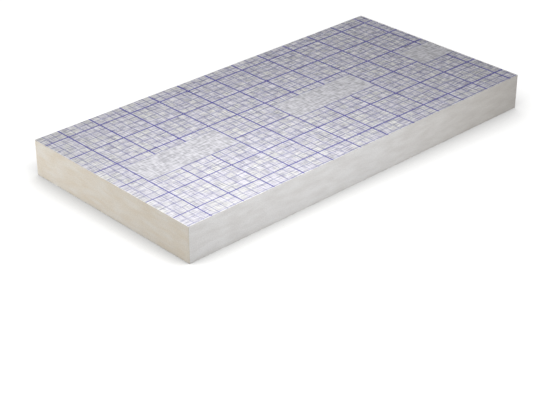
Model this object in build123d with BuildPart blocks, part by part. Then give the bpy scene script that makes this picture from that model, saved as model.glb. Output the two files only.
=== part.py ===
from build123d import *
import os

os.makedirs("parts", exist_ok=True)

# Rigid polyiso floor insulation board: a foam slab laminated between two thin facings.
# It lies flat, +Z up, with its long side along X and its short side along Y.
# The origin is the middle of the underside, on the floor that the board rests on.

# Driving dimensions, in millimetres
board_length = 1200.0
board_width = 600.0
board_thickness = 100.0
top_facing_thickness = 0.3
bottom_facing_thickness = 0.3

# Heights of the three bonded layers, from the floor up
core_bottom = bottom_facing_thickness
core_top = board_thickness - top_facing_thickness
core_thickness = core_top - core_bottom

# Bottom facing: the plain sheet that the foam rises on, flush with the sawn edges
with BuildPart() as bottom_facing:
    with BuildSketch(Plane.XY):
        Rectangle(board_length, board_width)
    extrude(amount=bottom_facing_thickness)

# Foam core: closed-cell rigid foam, sawn square on all four sides into butt edges
with BuildPart() as foam_core:
    with BuildSketch(Plane.XY.offset(core_bottom)):
        Rectangle(board_length, board_width)
    extrude(amount=core_thickness)

# Top facing: the woven film that carries the printed cutting grid, bonded face to face
with BuildPart() as top_facing:
    with BuildSketch(Plane.XY.offset(core_top)):
        Rectangle(board_length, board_width)
    extrude(amount=top_facing_thickness)

bottom_facing.part.label = "bottom_facing"
foam_core.part.label = "foam_core"
top_facing.part.label = "top_facing"

export_step(bottom_facing.part, "parts/bottom_facing.step")
export_step(foam_core.part, "parts/foam_core.step")
export_step(top_facing.part, "parts/top_facing.step")
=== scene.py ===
import math

import bmesh
import bpy
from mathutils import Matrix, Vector


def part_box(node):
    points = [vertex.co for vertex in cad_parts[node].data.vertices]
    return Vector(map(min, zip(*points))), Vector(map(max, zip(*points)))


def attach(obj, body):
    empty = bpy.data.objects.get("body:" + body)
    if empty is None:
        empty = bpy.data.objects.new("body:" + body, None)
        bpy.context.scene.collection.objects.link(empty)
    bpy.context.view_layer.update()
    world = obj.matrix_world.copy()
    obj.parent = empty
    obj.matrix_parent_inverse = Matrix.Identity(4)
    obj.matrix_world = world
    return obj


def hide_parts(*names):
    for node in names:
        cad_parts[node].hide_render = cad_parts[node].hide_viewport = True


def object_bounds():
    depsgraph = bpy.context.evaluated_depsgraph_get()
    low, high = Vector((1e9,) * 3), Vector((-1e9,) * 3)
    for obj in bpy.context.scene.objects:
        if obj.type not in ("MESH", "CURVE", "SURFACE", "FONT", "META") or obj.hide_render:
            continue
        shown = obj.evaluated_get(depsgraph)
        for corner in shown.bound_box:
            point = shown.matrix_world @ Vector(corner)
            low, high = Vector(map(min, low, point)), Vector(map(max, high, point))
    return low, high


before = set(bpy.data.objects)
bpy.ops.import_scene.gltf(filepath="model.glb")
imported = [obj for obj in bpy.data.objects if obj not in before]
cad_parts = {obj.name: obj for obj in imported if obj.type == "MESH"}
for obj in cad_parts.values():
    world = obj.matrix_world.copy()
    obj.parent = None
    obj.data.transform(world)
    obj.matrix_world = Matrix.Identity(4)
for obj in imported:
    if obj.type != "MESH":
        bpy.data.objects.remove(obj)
cad_low, cad_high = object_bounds()
scene = bpy.context.scene
scene.view_settings.view_transform = "Standard"

# Camera
# A long lens looks down on the board over its front left corner, level with the horizon.
picture_width = 560
focal_length_px = 1425.9
aim_point = Vector((-0.3041, -0.2909, 0.0510))
camera_distance = 3.4406
camera_turn = math.radians(-43.66)
camera_height_angle = math.radians(29.49)
away = Vector((
    math.sin(camera_turn) * math.cos(camera_height_angle),
    -math.cos(camera_turn) * math.cos(camera_height_angle),
    math.sin(camera_height_angle),
))
camera = bpy.data.objects.new("camera", bpy.data.cameras.new("camera"))
scene.collection.objects.link(camera)
camera.location = aim_point + away * camera_distance
camera.rotation_mode = "QUATERNION"
camera.rotation_quaternion = (-away).to_track_quat("-Z", "Y")
camera.data.sensor_width = 36.0
camera.data.lens = focal_length_px * camera.data.sensor_width / picture_width
scene.camera = camera

# Bottom facing
# A thin film of woven plastic tape, which the foam is poured onto and bonds to all over.
# It carries no print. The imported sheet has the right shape, so it gets only the finish.


def linear(colour):
    """The linear colour of an sRGB hex value."""
    parts = [int(colour[i:i + 2], 16) / 255 for i in (0, 2, 4)]
    return [c / 12.92 if c <= 0.04045 else ((c + 0.055) / 1.055) ** 2.4 for c in parts] + [1.0]


def add_node(material, kind, inputs=None, give=None, **settings):
    """Adds a node with its settings, gives each named input its value or link, and returns one output."""
    node = material.node_tree.nodes.new("ShaderNode" + kind)
    for name, value in settings.items():
        setattr(node, name, value)
    for name, value in (inputs or {}).items():
        if isinstance(value, bpy.types.NodeSocket):
            material.node_tree.links.new(value, node.inputs[name])
        else:
            node.inputs[name].default_value = value
    if not node.outputs:
        return None
    return node.outputs[give] if give else next(o for o in node.outputs if o.enabled)


def new_material(name):
    """An empty material with that name, and the place on the piece that its patterns follow."""
    material = bpy.data.materials.new(name)
    material.use_nodes = True
    material.node_tree.nodes.clear()
    return material, add_node(material, "TexCoord", give="Object")


millimetre = 0.001
tape_width = 2.5 * millimetre
tape_shade_length = 26 * millimetre
tape_shade_width = 6 * millimetre
tape_relief = 0.1 * millimetre
tape_relief_strength = 0.4


def woven_tapes(material, place):
    """The shade, from 0 to 1, and the height of a plain weave of flat tapes along X and Y."""
    # Single tapes are too fine to show from afar, so neighbours share some of their shade.
    along, over = 1 / tape_shade_length, 1 / tape_shade_width
    shades = []
    for stretch in ((along, over, 1.0), (over, along, 1.0)):
        stretched = add_node(material, "Mapping", {"Vector": place, "Scale": stretch})
        shades.append(add_node(
            material, "TexNoise",
            {"Vector": stretched, "Scale": 1.0, "Detail": 2.0, "Roughness": 0.6}, give="Fac",
        ))
    both = add_node(material, "Math", {0: shades[0], 1: shades[1]}, operation="ADD")
    shade = add_node(material, "MapRange", {"Value": both, "From Min": 0.80, "From Max": 1.20})
    # Each tape is crowned across its width, and goes over and under its neighbours in turn.
    tapes = add_node(
        material, "VectorMath", {0: place, 1: (1 / tape_width, 1 / tape_width, 0.0)}, operation="MULTIPLY"
    )
    x_over_y = add_node(
        material, "TexChecker",
        {"Vector": tapes, "Color1": (1, 1, 1, 1), "Color2": (0, 0, 0, 1), "Scale": 1.0}, give="Fac",
    )
    crowns = []
    for axis in "YX":
        across = add_node(material, "SeparateXYZ", {"Vector": tapes}, give=axis)
        crowns.append(add_node(material, "Math", {0: across, 1: 0.5}, operation="PINGPONG"))
    crown = add_node(
        material, "Mix", {"Factor": x_over_y, "A": crowns[1], "B": crowns[0]}, give="Result",
        data_type="FLOAT",
    )
    height = add_node(material, "Math", {0: crown, 1: shade}, operation="ADD")
    return shade, height


# Woven tape is a pale silver white with a soft sheen, a little darker where it dips under its neighbour.
film_white = "F8F8F9"
film_shade = "C7C7C9"
plain, place = new_material("plain_woven_film")
tape_shade, tape_height = woven_tapes(plain, place)
plain_colour = add_node(
    plain, "Mix", {"Factor": tape_shade, "A": linear(film_shade), "B": linear(film_white)},
    give="Result", data_type="RGBA",
)
plain_bump = add_node(
    plain, "Bump", {"Height": tape_height, "Strength": tape_relief_strength, "Distance": tape_relief}
)
plain_surface = add_node(
    plain, "BsdfPrincipled",
    {"Base Color": plain_colour, "Roughness": 0.42, "Specular IOR Level": 0.45, "Normal": plain_bump},
)
add_node(plain, "OutputMaterial", {"Surface": plain_surface})
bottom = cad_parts["bottom_facing"]
bottom.data.materials.clear()
bottom.data.materials.append(plain)

# Foam core
# Closed-cell polyisocyanurate foam that rose between the two facings and was then sawn square.
# The saw leaves the four sides a little wavy, and handling has crushed the upright arrises round.
core_low, core_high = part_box("foam_core")
core_size = core_high - core_low
core_middle = (core_low + core_high) / 2
arris_radius = 0.0016
lower_crush = 0.0008
side_step = 0.003
side_rows = 33


def pick(piece, test, mode="VERT"):
    """Selects, in edit mode, only the vertices, edges or faces for which test is true."""
    bpy.context.tool_settings.mesh_select_mode = (mode == "VERT", mode == "EDGE", mode == "FACE")
    shape = bmesh.from_edit_mesh(piece.data)
    for group in (shape.verts, shape.edges, shape.faces):
        for element in group:
            element.select = False
    chosen = {"VERT": shape.verts, "EDGE": shape.edges, "FACE": shape.faces}[mode]
    for element in chosen:
        if test(element):
            element.select_set(True)
    shape.select_flush_mode()
    bmesh.update_edit_mesh(piece.data)


bpy.ops.object.select_all(action="DESELECT")
bpy.ops.mesh.primitive_plane_add(size=1.0, location=(core_middle.x, core_middle.y, core_low.z))
core = bpy.context.object
core.name = "sawn_foam_core"
core.scale = (core_size.x, core_size.y, 1.0)
bpy.ops.object.transform_apply(location=True, rotation=True, scale=True)
bpy.ops.object.mode_set(mode="EDIT")
bpy.ops.mesh.select_all(action="SELECT")
bpy.ops.mesh.bevel(offset=arris_radius, affect="VERTICES", segments=4)
bpy.ops.mesh.select_all(action="SELECT")
bpy.ops.mesh.delete(type="ONLY_FACE")
for length in (core_size.x, core_size.y):
    pick(core, lambda edge: abs(edge.calc_length() - length) < 3 * arris_radius, "EDGE")
    bpy.ops.mesh.subdivide(number_cuts=round(length / side_step) - 1)
row_height = core_size.z / side_rows
for row in range(side_rows):
    row_top = core_low.z + row * row_height
    pick(core, lambda edge: all(abs(v.co.z - row_top) < row_height / 4 for v in edge.verts), "EDGE")
    bpy.ops.mesh.extrude_edges_move(TRANSFORM_OT_translate={"value": (0, 0, row_height)})
pick(core, lambda vertex: vertex.co.z < core_low.z + row_height / 4)
bpy.ops.transform.resize(value=(1 - 2 * lower_crush / core_size.x, 1 - 2 * lower_crush / core_size.y, 1))
bpy.ops.mesh.select_all(action="SELECT")
bpy.ops.mesh.normals_make_consistent(inside=False)
pick(core, lambda face: face.normal.dot((face.calc_center_median() - core_middle) * Vector((1, 1, 0))) < 0,
     "FACE")
bpy.ops.mesh.flip_normals()
bpy.ops.object.mode_set(mode="OBJECT")
# Both reliefs only cut into the foam, so that it stays inside its box.
for name, pattern, size, depth in (
    ("saw_waves", "CLOUDS", 0.045, 0.00030),
    ("crumbs", "STUCCI", 0.006, 0.00014),
):
    relief = bpy.data.textures.new(name, pattern)
    relief.noise_scale = size
    wear = core.modifiers.new(name, "DISPLACE")
    wear.texture = relief
    wear.texture_coords = "LOCAL"
    wear.mid_level = 1.0
    wear.strength = depth
    bpy.ops.object.modifier_apply(modifier=name)
bpy.ops.object.mode_set(mode="EDIT")
for level in (core_low.z, core_high.z):
    pick(core, lambda edge: all(abs(v.co.z - level) < row_height / 4 for v in edge.verts), "EDGE")
    bpy.ops.mesh.edge_face_add()
bpy.ops.mesh.select_all(action="SELECT")
bpy.ops.mesh.normals_make_consistent(inside=False)
bpy.ops.object.mode_set(mode="OBJECT")
bpy.ops.object.shade_smooth_by_angle(angle=math.radians(40))

# Sawn foam is matte, and cream where it was cut across. Along its length it is painted paler and greyer,
# a painted cool light on the long sides, and a little warmer towards the right end. Beside each facing is
# a thin denser skin.
end_pale = "ECE6DC"
end_deep = "E6DCCC"
painted_cool_side_pale = "E9E8E8"
painted_cool_side_deep = "DFDDDC"
right_end_warmth = "FFFCF7"
skin_colour = "D2C9B2"
skin_depth = 2.5 * millimetre
skin_strength = 0.3
patch_size = 60 * millimetre
patch_flatness = 3.5
cell_grain = 3 * millimetre
cell_relief = 0.3 * millimetre
foam, place = new_material("sawn_polyiso_foam")
x, z = [add_node(foam, "SeparateXYZ", {"Vector": place}, give=axis) for axis in "XZ"]
# Cloudy patches about 60 mm across, drawn out along the sides as the foam flowed while it rose.
flow = add_node(foam, "Mapping", {"Vector": place, "Scale": (1, 1, patch_flatness)})
patches = add_node(
    foam, "TexNoise", {"Vector": flow, "Scale": 1 / patch_size, "Detail": 3.0}, give="Fac"
)
patch_share = add_node(foam, "MapRange", {"Value": patches, "From Min": 0.35, "From Max": 0.65})
ends = add_node(
    foam, "Mix", {"Factor": patch_share, "A": linear(end_deep), "B": linear(end_pale)},
    give="Result", data_type="RGBA",
)
# Painted cool light: the long sides get a paler, greyer colour than the cut ends.
sides_in_painted_cool_light = add_node(
    foam, "Mix", {"Factor": patch_share, "A": linear(painted_cool_side_deep), "B": linear(painted_cool_side_pale)},
    give="Result", data_type="RGBA",
)
# The long sides turn a little warmer towards the right end.
warmer_to_right = add_node(foam, "MapRange", {"Value": x, "From Min": 0.0, "From Max": core_high.x * 0.8})
warmed_painted_cool_sides = add_node(
    foam, "Mix", {"Factor": warmer_to_right, "A": sides_in_painted_cool_light, "B": linear(right_end_warmth)},
    give="Result", data_type="RGBA", blend_type="MULTIPLY",
)
from_middle = add_node(foam, "Math", {0: x}, operation="ABSOLUTE")
end_share = add_node(
    foam, "MapRange",
    {
        "Value": from_middle,
        "From Min": core_high.x - arris_radius, "From Max": core_high.x - arris_radius / 3,
    },
)
sawn = add_node(
    foam, "Mix", {"Factor": end_share, "A": warmed_painted_cool_sides, "B": ends}, give="Result", data_type="RGBA"
)
above_middle = add_node(foam, "Math", {0: z, 1: core_middle.z}, operation="SUBTRACT")
off_middle = add_node(foam, "Math", {0: above_middle}, operation="ABSOLUTE")
skin_share = add_node(
    foam, "MapRange",
    {
        "Value": off_middle, "From Min": core_size.z / 2 - skin_depth, "From Max": core_size.z / 2,
        "To Max": skin_strength,
    },
)
skinned = add_node(
    foam, "Mix", {"Factor": skin_share, "A": sawn, "B": linear(skin_colour)},
    give="Result", data_type="RGBA",
)
# Cells are about 0.3 mm across. They are drawn about ten times coarser, so that a grain shows.
cells = add_node(
    foam, "TexNoise", {"Vector": place, "Scale": 1 / cell_grain, "Detail": 2.0}, give="Fac"
)
cell_tone = add_node(
    foam, "MapRange", {"Value": cells, "From Min": 0.3, "From Max": 0.7, "To Min": 0.93, "To Max": 1.05}
)
grained = add_node(
    foam, "Mix", {"Factor": 1.0, "A": skinned, "B": cell_tone},
    give="Result", data_type="RGBA", blend_type="MULTIPLY",
)
cell_bump = add_node(foam, "Bump", {"Height": cells, "Strength": 0.3, "Distance": cell_relief})
foam_surface = add_node(
    foam, "BsdfPrincipled",
    {"Base Color": grained, "Roughness": 0.92, "Specular IOR Level": 0.25, "Normal": cell_bump},
)
add_node(foam, "OutputMaterial", {"Surface": foam_surface})
core.data.materials.append(foam)
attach(core, "root")
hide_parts("foam_core")

# Top facing
# The same woven film, laminated to the foam all over, trimmed with it and printed on its face.
# It puckers by about a tenth of a millimetre, which shows only in its sheen.
film_low, film_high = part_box("top_facing")
film_size = film_high - film_low
film_middle = (film_low + film_high) / 2
pucker_step = 0.010
pucker_size = 0.028
pucker_depth = 0.00012
bpy.ops.object.select_all(action="DESELECT")
bpy.ops.mesh.primitive_grid_add(
    x_subdivisions=round(film_size.x / pucker_step), y_subdivisions=round(film_size.y / pucker_step),
    size=1.0, location=(film_middle.x, film_middle.y, film_low.z),
)
film = bpy.context.object
film.name = "printed_top_film"
film.scale = (film_size.x, film_size.y, 1.0)
bpy.ops.object.transform_apply(location=True, rotation=True, scale=True)
bpy.ops.object.mode_set(mode="EDIT")
bpy.ops.mesh.select_all(action="SELECT")
bpy.ops.mesh.extrude_region_move(TRANSFORM_OT_translate={"value": (0, 0, film_size.z)})
bpy.ops.mesh.select_all(action="SELECT")
bpy.ops.mesh.normals_make_consistent(inside=False)
bpy.ops.object.mode_set(mode="OBJECT")
upper_side = film.vertex_groups.new(name="upper_side")
upper_side.add([v.index for v in film.data.vertices if v.co.z > film_middle.z], 1.0, "REPLACE")
# The puckers only go down, and only on the upper side, so the film stays flat on the foam.
relief = bpy.data.textures.new("puckers", "CLOUDS")
relief.noise_scale = pucker_size
pucker = film.modifiers.new("puckers", "DISPLACE")
pucker.texture = relief
pucker.texture_coords = "LOCAL"
pucker.direction = "Z"
pucker.mid_level = 1.0
pucker.strength = pucker_depth
pucker.vertex_group = "upper_side"
bpy.ops.object.modifier_apply(modifier="puckers")
bpy.ops.object.shade_smooth_by_angle(angle=math.radians(40))

# The film is a silver white with a glossy face. A blue cutting grid is printed on it, with strong
# lines 100 mm apart and thin ones at 50 and 25 mm, and some panels are left unprinted.
lavender_tint = "EFEDF5"
cream_tint = "F4F3F2"
bare_tint = "F5F4FA"
# The colour of the painted highlight along the film's cut edges.
edge_highlight_white = "FBFAF7"
strong_ink = "2620A0"
thin_ink = "4E50A2"
print_pitch = 99.44 * millimetre
first_cross_line = 71.8 * millimetre
first_long_line = 55.3 * millimetre
strong_line_width = 4.2 * millimetre
half_line_width = 3.5 * millimetre
quarter_line_width = 2.9 * millimetre
ink_in_front_left_glare = 0.58
ink_at_back_right = 1.46
line_blur = 0.3 * millimetre
line_wander = 0.35 * millimetre
wander_size = 5 * millimetre
fading_size = 8 * millimetre
faintest_thin_line = 0.4
fullest_thin_line = 0.68
mottle_size = 28 * millimetre
weave_under_print = 0.3
stroke_length = 36 * millimetre
stroke_width = 1.9 * millimetre
crosswise_strokes = 0.42
stroke_darkening = -0.68
stroke_lightening = 0.25
stroke_hue = (1.0, 1.0, 0.86)
panel_length = 3.0
panel_repeat = 5.0
panel_front = 1.75
panel_back = 2.75
panel_clearance = 1.6 * millimetre
front_line_strength = 0.6
printed, place = new_material("printed_woven_film")
tape_shade, tape_height = woven_tapes(printed, place)
# Places on the print are counted in grid squares from the first crossing of two strong lines.
print_start = (film_low.x + first_cross_line, film_low.y + first_long_line, 0.0)
from_start = add_node(printed, "VectorMath", {0: place, 1: print_start}, operation="SUBTRACT")
squares = add_node(
    printed, "VectorMath", {0: from_start, 1: (1 / print_pitch,) * 3}, operation="MULTIPLY"
)
along, across = [add_node(printed, "SeparateXYZ", {"Vector": squares}, give=axis) for axis in "XY"]
# Ink spreads unevenly into the weave: the edges wander, and thin lines fade and come back.
wander = add_node(
    printed, "TexNoise", {"Vector": place, "Scale": 1 / wander_size, "Detail": 1.0}, give="Fac"
)
wander_squares = add_node(
    printed, "MapRange",
    {"Value": wander, "To Min": -line_wander / print_pitch, "To Max": line_wander / print_pitch},
)
fading = add_node(
    printed, "TexNoise", {"Vector": place, "Scale": 1 / fading_size, "Detail": 1.5}, give="Fac"
)
fade = add_node(
    printed, "MapRange",
    {
        "Value": fading, "From Min": 0.35, "From Max": 0.6,
        "To Min": faintest_thin_line, "To Max": fullest_thin_line,
    },
)
# The print is painted paler towards the brightly lit front left corner, a painted glare that washes the
# ink
# out: the lines are narrower there and the strokes in the ground shallower, growing towards the back
# right.
film_x, film_y = [add_node(printed, "SeparateXYZ", {"Vector": place}, give=axis) for axis in "XY"]
to_back_right = add_node(printed, "Math", {0: film_x, 1: film_y}, operation="ADD")
ink_under_painted_glare = add_node(
    printed, "MapRange",
    {
        "Value": to_back_right, "From Min": film_low.x + film_low.y, "From Max": film_high.x + film_high.y,
        "To Min": ink_in_front_left_glare, "To Max": ink_at_back_right,
    },
)
line_edge = line_blur / print_pitch
thin_lines = []
strong_lines = []
for line_every, line_width, lines in (
    (1.0, strong_line_width, strong_lines),
    (0.5, half_line_width, thin_lines),
    (0.25, quarter_line_width, thin_lines),
):
    half_width = line_width / 2 / print_pitch
    for position in (along, across):
        moved = add_node(printed, "Math", {0: position, 1: wander_squares}, operation="ADD")
        off_line = add_node(printed, "Math", {0: moved, 1: line_every / 2}, operation="PINGPONG")
        off_line = add_node(printed, "Math", {0: off_line, 1: ink_under_painted_glare}, operation="DIVIDE")
        lines.append(add_node(
            printed, "MapRange",
            {
                "Value": off_line, "From Min": half_width - line_edge, "From Max": half_width + line_edge,
                "To Min": 1.0, "To Max": 0.0,
            },
        ))
strong = add_node(printed, "Math", {0: strong_lines[0], 1: strong_lines[1]}, operation="MAXIMUM")
thin = thin_lines[0]
for line in thin_lines[1:]:
    thin = add_node(printed, "Math", {0: thin, 1: line}, operation="MAXIMUM")
# Unprinted panels three squares long and one square wide begin at every fifth strong line.
along_repeat = add_node(printed, "Math", {0: along, 1: panel_repeat}, operation="FLOORED_MODULO")
line_clearance = panel_clearance / print_pitch
bare = None
for position, test, limit in (
    (along_repeat, "GREATER_THAN", line_clearance),
    (along_repeat, "LESS_THAN", panel_length - line_clearance),
    (across, "GREATER_THAN", panel_front + line_clearance / 2),
    (across, "LESS_THAN", panel_back - line_clearance),
):
    inside = add_node(printed, "Math", {0: position, 1: limit}, operation=test)
    bare = add_node(printed, "Math", {0: bare, 1: inside}, operation="MULTIPLY") if bare else inside
print_here = add_node(printed, "Math", {0: 1.0, 1: bare}, operation="SUBTRACT")
strong_here = add_node(printed, "Math", {0: strong, 1: print_here}, operation="MULTIPLY")
thin_here = add_node(printed, "Math", {0: thin, 1: print_here}, operation="MULTIPLY")
# The thin line along the front of each panel is printed nearly as dark as a strong one.
off_front = add_node(printed, "Math", {0: across, 1: panel_front, 2: line_clearance}, operation="COMPARE")
under_panel = add_node(printed, "Math", {0: along_repeat, 1: panel_length}, operation="LESS_THAN")
front_line = add_node(printed, "Math", {0: off_front, 1: under_panel}, operation="MULTIPLY")
front_share = add_node(printed, "Math", {0: front_line, 1: front_line_strength}, operation="MULTIPLY")
strong_share = add_node(printed, "Math", {0: strong_here, 1: front_share}, operation="MAXIMUM")
thin_share = add_node(printed, "Math", {0: thin_here, 1: fade}, operation="MULTIPLY")
# The print carries a faint lavender tint, blotchy by a few centimetres, which the panels lack.
mottle = add_node(
    printed, "TexNoise", {"Vector": place, "Scale": 1 / mottle_size, "Detail": 0.5}, give="Fac"
)
mottle_share = add_node(printed, "MapRange", {"Value": mottle, "From Min": 0.42, "From Max": 0.66})
blotchy_tint = add_node(
    printed, "Mix", {"Factor": mottle_share, "A": linear(lavender_tint), "B": linear(cream_tint)},
    give="Result", data_type="RGBA",
)
tint = add_node(
    printed, "Mix", {"Factor": bare, "A": blotchy_tint, "B": linear(bare_tint)},
    give="Result", data_type="RGBA",
)
weave_share = add_node(printed, "MapRange", {"Value": bare, "To Min": weave_under_print, "To Max": 1.0})
evened_shade = add_node(
    printed, "Mix", {"Factor": weave_share, "A": 1.0, "B": tape_shade}, give="Result", data_type="FLOAT"
)
tapes = add_node(
    printed, "Mix", {"Factor": evened_shade, "A": linear(film_shade), "B": linear(film_white)},
    give="Result", data_type="RGBA",
)
tinted = add_node(
    printed, "Mix", {"Factor": 1.0, "A": tapes, "B": tint},
    give="Result", data_type="RGBA", blend_type="MULTIPLY",
)
# The tint is a wash of ink, which evens the tapes out and gathers along them in thin strokes, most of
# them along the board. A stroke darkens the film and leaves it a little bluer.
strokes = []
for stretch in ((1 / stroke_length, 1 / stroke_width, 1.0), (1 / stroke_width, 1 / stroke_length, 1.0)):
    stretched = add_node(printed, "Mapping", {"Vector": place, "Scale": stretch})
    strokes.append(add_node(
        printed, "TexNoise", {"Vector": stretched, "Scale": 1.0, "Detail": 1.0}, give="Fac"
    ))
both_ways = add_node(
    printed, "Mix", {"Factor": crosswise_strokes, "A": strokes[0], "B": strokes[1]}, give="Result",
    data_type="FLOAT",
)
stroke_depth = add_node(
    printed, "MapRange",
    {
        "Value": both_ways, "From Min": 0.36, "From Max": 0.585,
        "To Min": stroke_darkening, "To Max": stroke_lightening,
    },
)
# The strokes are painted shallower in the same glare at the front left.
stroke_share = add_node(printed, "Math", {0: print_here, 1: ink_under_painted_glare}, operation="MULTIPLY")
stroke_here = add_node(printed, "Math", {0: stroke_depth, 1: stroke_share}, operation="MULTIPLY")
stroke_tone = add_node(
    printed, "VectorMath", {0: stroke_here, 1: stroke_hue, 2: (1, 1, 1)}, operation="MULTIPLY_ADD"
)
ground = add_node(
    printed, "Mix", {"Factor": 1.0, "A": tinted, "B": stroke_tone},
    give="Result", data_type="RGBA", blend_type="MULTIPLY",
)
thin_printed = add_node(
    printed, "Mix", {"Factor": thin_share, "A": ground, "B": linear(thin_ink)},
    give="Result", data_type="RGBA",
)
# Ink is thinner where a tape dips under its neighbour.
strong_cover = add_node(printed, "MapRange", {"Value": tape_shade, "To Min": 0.86, "To Max": 0.98})
covered = add_node(printed, "Math", {0: strong_share, 1: strong_cover}, operation="MULTIPLY")
line_printed = add_node(
    printed, "Mix", {"Factor": covered, "A": thin_printed, "B": linear(strong_ink)},
    give="Result", data_type="RGBA",
)
# The film is painted whiter along its cut edges, broken up by the tapes' shade: a painted highlight where
# the edge catches the light.
edge_highlight_from = 0.5 * millimetre
edge_highlight_to = 3.5 * millimetre
to_edges = []
for position, half_size in ((film_x, film_size.x / 2), (film_y, film_size.y / 2)):
    off_centre = add_node(printed, "Math", {0: position}, operation="ABSOLUTE")
    to_edges.append(add_node(printed, "Math", {0: half_size, 1: off_centre}, operation="SUBTRACT"))
to_edge = add_node(printed, "Math", {0: to_edges[0], 1: to_edges[1]}, operation="MINIMUM")
edge_highlight_share = add_node(
    printed, "MapRange",
    {"Value": to_edge, "From Min": edge_highlight_from, "From Max": edge_highlight_to, "To Min": 0.8, "To Max": 0.0},
)
# The painted edge highlight is broken up by the tapes' shade.
edge_highlight_breakup = add_node(printed, "MapRange", {"Value": tape_shade, "To Min": 0.4, "To Max": 1.0})
edge_highlight_share = add_node(printed, "Math", {0: edge_highlight_share, 1: edge_highlight_breakup}, operation="MULTIPLY")
film_colour = add_node(
    printed, "Mix", {"Factor": edge_highlight_share, "A": line_printed, "B": linear(edge_highlight_white)},
    give="Result", data_type="RGBA",
)
film_bump = add_node(
    printed, "Bump", {"Height": tape_height, "Strength": tape_relief_strength, "Distance": tape_relief}
)
film_roughness = add_node(printed, "MapRange", {"Value": tape_shade, "To Min": 0.5, "To Max": 0.36})
film_gloss = add_node(printed, "MapRange", {"Value": tape_shade, "To Min": 0.0, "To Max": 0.7})
film_surface = add_node(
    printed, "BsdfPrincipled",
    {
        "Base Color": film_colour, "Roughness": film_roughness, "Specular IOR Level": film_gloss,
        "Normal": film_bump,
    },
)
add_node(printed, "OutputMaterial", {"Surface": film_surface})
film.data.materials.append(printed)
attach(film, "root")
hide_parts("top_facing")

# Floor
# A wide, plain, pale studio floor. Near the foot of the board its colour and glow are darkened by ambient
# occlusion, a painted soft shadow. For the camera the rest is lifted to white, as the paper sweep of a
# product picture is.
paper_grey = "BEBEBC"
floor_lift = 0.92
painted_shadow_reach = 150 * millimetre
bpy.ops.object.select_all(action="DESELECT")
bpy.ops.mesh.primitive_plane_add(size=24.0, location=(0, 0, cad_low.z))
floor = bpy.context.object
floor.name = "studio_floor"
paper, place = new_material("studio_paper")
seen = add_node(
    paper, "Math",
    {
        0: add_node(paper, "LightPath", give="Is Camera Ray"),
        1: add_node(paper, "LightPath", give="Is Glossy Ray"),
    },
    operation="ADD",
)
lift = add_node(paper, "Math", {0: seen, 1: floor_lift}, operation="MULTIPLY")
# Painted shadow: the floor's glow and colour grow darker where the board hems it in, which also dims the
# light it bounces onto the foot of the sides.
painted_shadow_open_share = add_node(paper, "AmbientOcclusion", {"Distance": painted_shadow_reach}, give="AO")
lift = add_node(paper, "Math", {0: lift, 1: painted_shadow_open_share}, operation="MULTIPLY")
paper_colour = add_node(
    paper, "VectorMath", {0: linear(paper_grey)[:3], 1: painted_shadow_open_share}, operation="MULTIPLY"
)
matte = add_node(paper, "BsdfDiffuse", {"Color": paper_colour})
glow = add_node(paper, "Emission", {"Color": linear("FFFFFF"), "Strength": lift})
both = add_node(paper, "AddShader", {0: matte, 1: glow})
add_node(paper, "OutputMaterial", {"Surface": both})
floor.data.materials.append(paper)

# Lights
# White surroundings and six soft lamps. The first hangs over the front left part of the board, so
# the printed side is brightest there and darkens towards the back right, and a weak one hangs over
# the middle. Two light the long side, one the short side, and a weak one the sides at the back.
light_from_around = 0.16
world = bpy.data.worlds.new("white_surroundings")
scene.world = world
world.use_nodes = True
world.node_tree.nodes.clear()
seen = add_node(
    world, "Math",
    {
        0: add_node(world, "LightPath", give="Is Camera Ray"),
        1: add_node(world, "LightPath", give="Is Glossy Ray"),
    },
    operation="ADD",
)
strength = add_node(world, "MapRange", {"Value": seen, "To Min": light_from_around, "To Max": 1.0})
sky = add_node(world, "Background", {"Color": linear("FFFFFF"), "Strength": strength})
add_node(world, "OutputWorld", {"Surface": sky})


def soft_lamp(name, place, aim, size, power):
    """A square soft lamp at a place, turned to shine at a point."""
    lamp = bpy.data.objects.new(name, bpy.data.lights.new(name, "AREA"))
    scene.collection.objects.link(lamp)
    lamp.data.size = size
    lamp.data.energy = power
    lamp.location = place
    lamp.rotation_mode = "QUATERNION"
    lamp.rotation_quaternion = (Vector(aim) - Vector(place)).to_track_quat("-Z", "Y")


soft_lamp("lamp_over_front_corner", (-0.44, -0.30, 0.85), (-0.42, -0.25, 0.1), 0.4, 4.25)
soft_lamp("lamp_over_middle", (0.0, 0.25, 1.30), (0.0, 0.2, 0.1), 0.5, 1.5)
soft_lamp("lamp_before_long_side_left", (-0.50, -1.3, 0.6), (-0.4, -0.3, 0.05), 0.5, 5.3)
soft_lamp("lamp_before_long_side_right", (0.20, -1.2, 0.3), (0.15, -0.3, 0.05), 0.5, 2.6)
soft_lamp("lamp_before_short_side", (-2.4, 1.4, 0.3), (-0.6, 0.1, 0.05), 0.6, 35.2)
soft_lamp("lamp_behind_back_corner", (2.2, 2.0, 0.40), (0.4, 0.2, 0.05), 0.8, 4.0)
